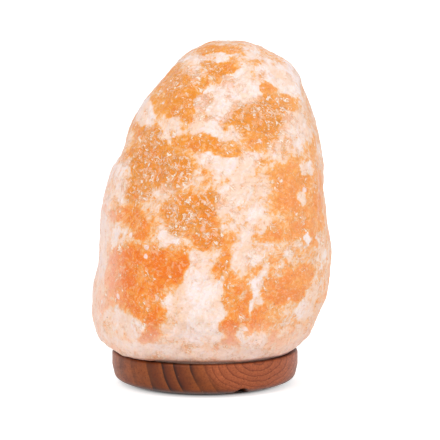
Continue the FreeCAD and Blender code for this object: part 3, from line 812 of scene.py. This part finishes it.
def wood_material():
    g = Graph("oiled_hardwood", roughness=0.42, specular_ior_level=0.22)

    def rings(place, per_metre):
        """The way out from a ring centre and the share of the ring that it falls in."""
        out = g.node("VectorMath", {0: place}, operation="LENGTH").outputs["Value"]
        uneven = g.noise(35, 2, 0.5, place=g.node("CombineXYZ", {0: out}).outputs[0])
        return out, g.math("FRACT", g.times(g.add(out, g.times(uneven, 0.012)), per_metre))

    # The grain runs from front to back, so the front shows the end of the growth rings.
    place = g.moved(shift=(-0.078, 0, -0.040), turn=(math.radians(4), 0, math.radians(7)))
    place = g.warped(16, 7 * MM, 2, place=place)
    place = g.warped(90, 0.5 * MM, 2, place=place)
    phase = rings(g.moved(scale=(1, 0.0, 1), place=place), 112)[1]
    band = g.ramp(phase, (0.00, tint(142, 74, 32)), (0.30, tint(126, 61, 26)),
                  (0.70, tint(100, 44, 18)), (0.88, tint(58, 22, 9)),
                  (0.95, tint(32, 11, 5)), (1.00, tint(132, 68, 30)))
    broad = g.noise(38, 3, 0.5, place=place)
    colour = g.mix(g.times(g.step(broad, 0.45, 0.62), 0.45), band, tint(160, 84, 36))
    # The left of the front is plainer and more orange.
    left = g.step(g.add(g.axis("X"), g.times(broad, 0.03)), -0.010, -0.034)
    plain = g.mix(g.step(g.noise(120, 4, 0.6, place=place), 0.40, 0.60), tint(130, 62, 25),
                  tint(172, 90, 38))
    colour = g.mix(g.times(left, 0.65), colour, plain)
    # Round a knot on the right the rings close up, thin and reddish. They are also lighter,
    # partly the wood's figure and partly painted light for the sheen on that side.
    knot = g.moved(shift=(-0.033, 0.048, -0.021), place=g.warped(38, 4.0 * MM, 3))
    out, phase = rings(g.moved(scale=(0.60, 0.35, 1), place=knot), 340)
    redder = g.ramp(phase, (0.00, tint(186, 100, 60)), (0.70, tint(174, 90, 54)),
                    (0.92, tint(134, 64, 38)), (1.00, tint(182, 98, 58)))
    near = g.step(g.add(out, g.times(broad, 0.010)), 0.030, 0.022)
    colour = g.mix(g.times(near, 0.85), colour, redder)
    # Pores and fibres along the grain.
    along = g.moved(scale=(1, 0.07, 1))
    fibre = g.noise(900, 3, 0.6, place=along)
    pore = g.step(g.noise(1300, 2, 0.5, place=along), 0.61, 0.68)
    colour = g.mix(g.step(fibre, 0.35, 0.7, 0.0, 0.35), colour, tint(78, 34, 14))
    colour = g.mix(g.times(pore, 0.50), colour, tint(40, 16, 8))
    speck = g.step(g.cells(150, place=g.moved(scale=(1, 1, 1.2))), 0.055, 0.03)
    colour = g.mix(g.times(speck, 0.8), colour, tint(226, 180, 138))
    # Painted shade: darker in the seam under the salt and where the heel turns under.
    height = g.axis("Z")
    seam = g.step(height, SEAT + 2.2 * MM, SEAT + 3.2 * MM)
    painted_shade = g.math("MAXIMUM", g.times(seam, 0.7), g.step(height, 6 * MM, 1.5 * MM, 0.0, 0.65))
    colour = g.mix(painted_shade, colour, tint(34, 14, 7))
    rough = g.add(g.times(fibre, 0.2), 0.32)
    normal = g.bump((fibre, 0.06 * MM), (g.times(pore, -1), 0.05 * MM),
                    (g.noise(60, 3), 0.4 * MM))
    return g.finish(base_color=colour, roughness=rough, normal=normal)


shown(base_mesh(), "root", "hardwood", wood_material(), "wooden_base")


# ---- metals, plastics and rubber ----
def metal(name, light, dark, roughness, waves=700, stretch=(1, 1, 1)):
    """A bare or plated metal with faint cloudy tarnish and tool marks."""
    g = Graph(name, metallic=1.0, roughness=roughness)
    marks = g.noise(waves, 4, 0.65, place=g.moved(scale=stretch))
    cloud = g.noise(90, 4, 0.6)
    share = g.step(g.add(g.times(cloud, 0.7), g.times(marks, 0.3)), 0.38, 0.62)
    colour = g.mix(share, dark, light)
    rough = g.add(g.times(marks, 0.22), roughness - 0.11)
    return g.finish(base_color=colour, roughness=rough, normal=g.bump((marks, 0.03 * MM)))


def moulded(name, light, dark, roughness, grain=900, depth=0.03):
    """A moulded plastic or rubber with a fine mottled skin."""
    g = Graph(name, roughness=roughness, specular_ior_level=0.4)
    skin = g.noise(grain, 4, 0.6)
    cloud = g.noise(120, 3, 0.5)
    share = g.step(g.add(g.times(cloud, 0.5), g.times(skin, 0.5)), 0.40, 0.60)
    colour = g.mix(share, dark, light)
    rough = g.add(g.times(skin, 0.2), roughness - 0.1)
    return g.finish(base_color=colour, roughness=rough, normal=g.bump((skin, depth * MM)))


def frosted_material():
    """Frosted glass, milkier towards the cap."""
    g = Graph("frosted_glass", roughness=0.45, ior=1.5, transmission_weight=0.55)
    cloud = g.noise(140, 4, 0.55)
    rise = g.step(g.axis("Z"), 0.050, 0.075)
    colour = g.mix(g.add(g.times(cloud, 0.5), g.times(rise, 0.4)), tint(244, 238, 226),
                   tint(255, 252, 246))
    grain = g.noise(1500, 2)
    rough = g.add(g.times(grain, 0.15), 0.38)
    return g.finish(base_color=colour, roughness=rough, normal=g.bump((grain, 0.02 * MM)))


def bead_material():
    """The dark glass bead round the bulb's tip, with pale swirls."""
    g = Graph("glass_bead", roughness=0.15, ior=1.5)
    swirl = g.noise(260, 4, 0.6, 2.0)
    colour = g.ramp(swirl, (0.3, tint(18, 14, 20)), (0.6, tint(40, 30, 44)),
                    (0.8, tint(70, 58, 72)))
    return g.finish(base_color=colour, roughness=g.add(g.times(swirl, 0.2), 0.06))


rubber = moulded("black_rubber", tint(46, 45, 44), tint(30, 29, 29), 0.75, depth=0.05)
zinc = metal("zinc_plate", tint(206, 207, 204), tint(176, 178, 178), 0.34)
nylon = moulded("grey_nylon", tint(196, 194, 188), tint(180, 178, 172), 0.5)
sheet_steel = metal("sheet_steel", tint(200, 201, 201), tint(168, 170, 173), 0.30,
                    stretch=(1, 0.12, 1))
spring_steel = metal("spring_steel", tint(190, 193, 198), tint(150, 154, 162), 0.24,
                     stretch=(1, 1, 0.1))
phenolic = moulded("black_phenolic", tint(38, 34, 32), tint(24, 22, 21), 0.32)
brass = metal("brass", tint(226, 190, 112), tint(196, 156, 82), 0.26)
aluminium = metal("bulb_aluminium", tint(214, 214, 210), tint(184, 184, 182), 0.30)
solder = metal("solder", tint(186, 188, 190), tint(140, 143, 148), 0.42, waves=400)


# ---- small pieces ----
def eased(node, width, segments=2, angle=30):
    """A copy of a CAD node whose sharp edges are rounded, to a width in mm."""
    copy = bmesh.new()
    copy.from_mesh(NODES[node].data)
    bmesh.ops.remove_doubles(copy, verts=copy.verts, dist=1e-6)
    bmesh.ops.dissolve_limit(copy, angle_limit=math.radians(1), verts=copy.verts,
                             edges=copy.edges)
    sharp = [edge for edge in copy.edges
             if len(edge.link_faces) == 2 and edge.calc_face_angle() > math.radians(angle)]
    bmesh.ops.bevel(copy, geom=sharp, offset=width * MM, segments=segments, profile=0.5,
                    affect="EDGES", clamp_overlap=True)
    mesh = bpy.data.meshes.new(node + "_eased")
    copy.to_mesh(mesh)
    copy.free()
    return tidied(mesh, 40)


def foot_mesh(number):
    """A pressed rubber foot with a round edge and a dimple in its face."""
    low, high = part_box(f"rubber_foot_{number}")
    middle = (low + high) / 2
    radius, top = (high.x - low.x) / 2 / MM, high.z / MM
    outline = [(0, 0.35), (1.4, 0.30), (2.2, 0.08), (2.7, 0)]
    outline += [(radius - 0.8, 0), (radius - 0.4, 0.08), (radius - 0.12, 0.30), (radius, 0.7)]
    outline += [(radius, top), (0, top)]
    mesh = turned(f"foot_{number}", even(outline, 0.6, False), 72, closed=False)
    mesh.transform(Matrix.Translation((middle.x, middle.y, 0)))
    return tidied(mesh)


def thread(pitch, depth, low, high, fade=1.2):
    """A lift for turned(): a right-hand round thread between two heights, in mm."""
    def lift(r, z, turn):
        share = np.clip((z - low) / fade, 0, 1) * np.clip((high - z) / fade, 0, 1)
        wave = math.cos(2 * math.pi * z / pitch - turn)
        return -depth * share * (0.5 - 0.5 * wave)
    return lift


def screw_mesh():
    """Pan-head screws with a cross recess and a thread, head down."""
    low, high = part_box("crystal_screws")
    head, seat, tip = low.z / MM, low.z / MM + 2.4, high.z / MM
    outline = [(0, head), (2.2, head), (3.0, head + 0.2), (3.55, head + 0.7), (3.8, head + 1.5)]
    outline += [(3.8, seat - 0.1), (3.7, seat), (2.0, seat)]
    outline = even(outline, 0.5, False)
    outline += [(2.0, z) for z in np.arange(seat + 0.2, tip - 3.2, 0.2)]
    outline += [(2.0 - 1.9 * t, tip - 3.2 + 3.2 * t) for t in np.linspace(0, 1, 17)] + [(0, tip)]
    ridge = thread(1.6, 0.5, seat + 2, tip - 0.5)

    def lift(r, z, turn):
        return ridge(r, z, turn) * min(1, r / 2) if z > seat + 1 else 0

    blank = tidied(turned("pan_screw", outline, 40, closed=False, lift=lift))
    cutters = []
    for turn in (0, math.pi / 2):
        slot = bmesh.new()
        bmesh.ops.create_cube(slot, size=1)
        for v in slot.verts:
            upper = v.co.z > 0
            v.co.x *= (1.6 if upper else 3.8) * MM
            v.co.y *= (0.5 if upper else 0.8) * MM
            v.co.z = (head + (1.5 if upper else -0.5)) * MM
        bmesh.ops.rotate(slot, verts=slot.verts, cent=(0, 0, 0),
                         matrix=Matrix.Rotation(turn, 3, "Z"))
        cutters.append(bpy.data.meshes.new("slot"))
        slot.to_mesh(cutters[-1])
        slot.free()
    one = without(blank, *cutters)
    group = bmesh.new()
    for k, turn in enumerate(SCREWS):
        placed = one.copy()
        spin = Matrix.Rotation(turn + 0.7 * k, 4, "Z")
        placed.transform(Matrix.Translation(Vector(about(SCREW_CIRCLE, turn, 0)) * MM) @ spin)
        group.from_mesh(placed)
        bpy.data.meshes.remove(placed)
    mesh = bpy.data.meshes.new("pan_screws")
    group.to_mesh(mesh)
    group.free()
    return tidied(mesh)


E14_PITCH = 2.82                     # mm


def bulb_cap_mesh():
    low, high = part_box("bulb_cap")
    radius, bottom, top = high.x / MM, low.z / MM, high.z / MM
    outline = [(0, bottom), (4.2, bottom), (radius - 1.4, bottom + 0.5),
               (radius - 0.5, bottom + 1.4)]
    outline += [(radius, z) for z in np.arange(bottom + 2.0, top - 2.4, 0.22)]
    outline += [(radius - 0.15, top - 2.2), (radius, top - 1.6), (radius, top - 0.2),
                (radius - 0.2, top), (0, top)]
    lift = thread(E14_PITCH, 0.75, bottom + 1.6, top - 2.6)
    return tidied(turned("bulb_screw_cap", even(outline, 1.0, False), 96, False, lift), 50)


def shell_mesh():
    """The holder's threaded shell: sheet brass with a lip at the top."""
    low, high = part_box("screw_shell")
    outer, bottom, top = high.x / MM, low.z / MM, high.z / MM
    inner = outer - 0.4
    rise = np.arange(bottom, top, 0.24)
    outline = [(inner + 0.12, z) for z in rise] + [(inner, top - 0.1), (outer, top - 0.1)]
    outline += [(outer, z) for z in rise[::-1]]
    lift = thread(E14_PITCH, 0.12, bottom + 1, top - 1.5)
    return tidied(turned("threaded_shell", outline, 96, True, lift), 50)


def glass_mesh():
    """The frosted envelope: a drawn-in neck, a round shoulder and a domed end."""
    low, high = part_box("bulb_glass")
    radius, bottom, top = high.x / MM, low.z / MM, high.z / MM
    outline = [(0, bottom), (6.5, bottom), (6.7, bottom + 0.4)]
    for t in np.linspace(0, 1, 13):
        outline.append((6.8 + (radius - 6.8) * (3 * t ** 2 - 2 * t ** 3), bottom + 0.8 + 5.4 * t))
    outline.append((radius, top - 8))
    for t in np.linspace(0, math.pi / 2, 17)[1:-1]:
        outline.append((radius * math.cos(t) ** 0.8, top - 7.5 + 7.5 * math.sin(t)))
    outline.append((0, top))
    return tidied(turned("bulb_envelope", even(outline, 1.2, False), 120, closed=False), 60)


def bead_mesh():
    """The bulb's insulator: a glass bead that swells out under the cap."""
    low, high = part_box("bulb_insulator")
    radius, bottom, top = high.x / MM, low.z / MM, high.z / MM
    outline = [(0, bottom), (2.6, bottom)]
    for t in np.linspace(0, math.pi / 2, 12):
        outline.append((2.8 + (radius - 2.8) * math.sin(t),
                        top - 0.4 - (top - 0.4 - bottom) * math.cos(t)))
    outline += [(radius, top), (0, top)]
    return tidied(turned("insulator_bead", outline, 72, closed=False), 50)


def tip_mesh():
    """The bulb's contact: a domed drop of solder, a little uneven."""
    low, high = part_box("bulb_contact")
    radius, bottom, top = high.x / MM, low.z / MM, high.z / MM
    outline = [(radius * math.sin(t), top - 0.2 - (top - 0.2 - bottom) * math.cos(t))
               for t in np.linspace(0, math.pi / 2, 12)]
    outline += [(radius, top), (0, top)]

    def lift(r, z, turn):
        return -0.06 * (1 + math.sin(3 * turn + 1)) * r / radius

    return tidied(turned("solder_tip", outline, 48, closed=False, lift=lift), 60)


for number in range(1, 4):
    shown(foot_mesh(number), "root", "foot_rubber", rubber, f"rubber_foot_{number}")
shown(screw_mesh(), "root", "screw_steel", zinc, "crystal_screws")
shown(eased("holder_body", 0.35), "holder", "holder_phenolic", phenolic, "holder_body")
shown(eased("holder_cap", 0.5), "holder", "holder_phenolic", phenolic, "holder_cap")
shown(eased("cord_bush", 0.3), "holder", "holder_phenolic", phenolic, "cord_bush")
shown(shell_mesh(), "holder", "contact_brass", brass, "screw_shell")
shown(tip_mesh(), "bulb_tip", "contact_brass", solder, "bulb_contact")
shown(bead_mesh(), "bulb", "bulb_bead", bead_material(), "bulb_insulator")
shown(bulb_cap_mesh(), "bulb", "bulb_cap_metal", aluminium, "bulb_cap")
shown(glass_mesh(), "bulb", "bulb_frosted", frosted_material(), "bulb_glass")

# The rest of the pieces keep their CAD shapes.
CARRIED_OVER = {
    "wall_plugs": nylon, "clip_plate": sheet_steel, "clip_spring_1": spring_steel,
    "clip_spring_2": spring_steel, "clip_spring_3": spring_steel, "centre_contact": brass,
    "live_tag": brass, "neutral_tag": brass,
}
for node, material in CARRIED_OVER.items():
    for place in NODES[node].material_slots:
        place.material = material


# ---- floor, lights and camera ----
WORLD_LIGHT = 0.57
FLOOR_GLOW = 0.54                     # brings the lit floor to white


def floor():
    mesh = bpy.data.meshes.new("studio_floor")
    mesh.from_pydata([(-9, -5, 0), (9, -5, 0), (9, 30, 0), (-9, 30, 0)], [], [(0, 1, 2, 3)])
    plane = bpy.data.objects.new("studio_floor", mesh)
    bpy.context.scene.collection.objects.link(plane)
    g = Graph("studio_floor", base_color=(0.88, 0.88, 0.88, 1), roughness=0.8)
    # It is white to the camera and keeps the lamp's shadow, and under the lamp its glow is left
    # out, a painted shadow.
    path = g.node("LightPath")
    seen = g.math("MAXIMUM", path.outputs["Is Camera Ray"], path.outputs["Is Glossy Ray"])
    seen = g.math("MAXIMUM", seen, path.outputs["Is Transmission Ray"])
    g.put(g.shader.inputs["Emission Color"], (1, 1, 1, 1))
    out = g.node("VectorMath", {0: g.place}, operation="LENGTH").outputs["Value"]
    seen = g.times(seen, g.step(out, 0.040, 0.048))
    g.put(g.shader.inputs["Emission Strength"], g.times(seen, FLOOR_GLOW))
    plane.data.materials.append(g.material)


def lamp(name, place, aim, size, power):
    data = bpy.data.lights.new(name, "AREA")
    data.shape = "DISK"
    data.size = size
    data.energy = power
    lamp_ = bpy.data.objects.new(name, data)
    lamp_.location = place
    lamp_.rotation_euler = (Vector(aim) - Vector(place)).to_track_quat("-Z", "Y").to_euler()
    bpy.context.scene.collection.objects.link(lamp_)


def studio():
    world = bpy.data.worlds.new("studio")
    bpy.context.scene.world = world
    world.use_nodes = True
    tree = world.node_tree
    background = tree.nodes["Background"]
    background.inputs["Color"].default_value = (1, 1, 1, 1)
    path = tree.nodes.new("ShaderNodeLightPath")
    most = None
    for ray in ("Is Camera Ray", "Is Glossy Ray", "Is Transmission Ray"):
        node = tree.nodes.new("ShaderNodeMath")
        node.operation = "MAXIMUM"
        tree.links.new(path.outputs[ray], node.inputs[0])
        if most:
            tree.links.new(most, node.inputs[1])
        most = node.outputs[0]
    strength = tree.nodes.new("ShaderNodeMapRange")
    strength.inputs["To Min"].default_value = WORLD_LIGHT
    tree.links.new(most, strength.inputs["Value"])
    tree.links.new(strength.outputs[0], background.inputs["Strength"])
    lamp("key", (-0.9, -1.3, 1.5), (0, 0, 0.09), 0.9, 10.5)
    lamp("fill", (1.3, -0.9, 0.7), (0, 0, 0.09), 1.2, 5)
    data = bpy.data.cameras.new("camera")
    data.lens = LENS
    data.sensor_width = SENSOR
    camera = bpy.data.objects.new("camera", data)
    camera.location = [v * MM for v in CAMERA]
    camera.rotation_euler = (math.radians(90 - CAMERA_TILT), 0, 0)
    bpy.context.scene.collection.objects.link(camera)
    bpy.context.scene.camera = camera
    bpy.context.scene.view_settings.view_transform = "Standard"


floor()
studio()
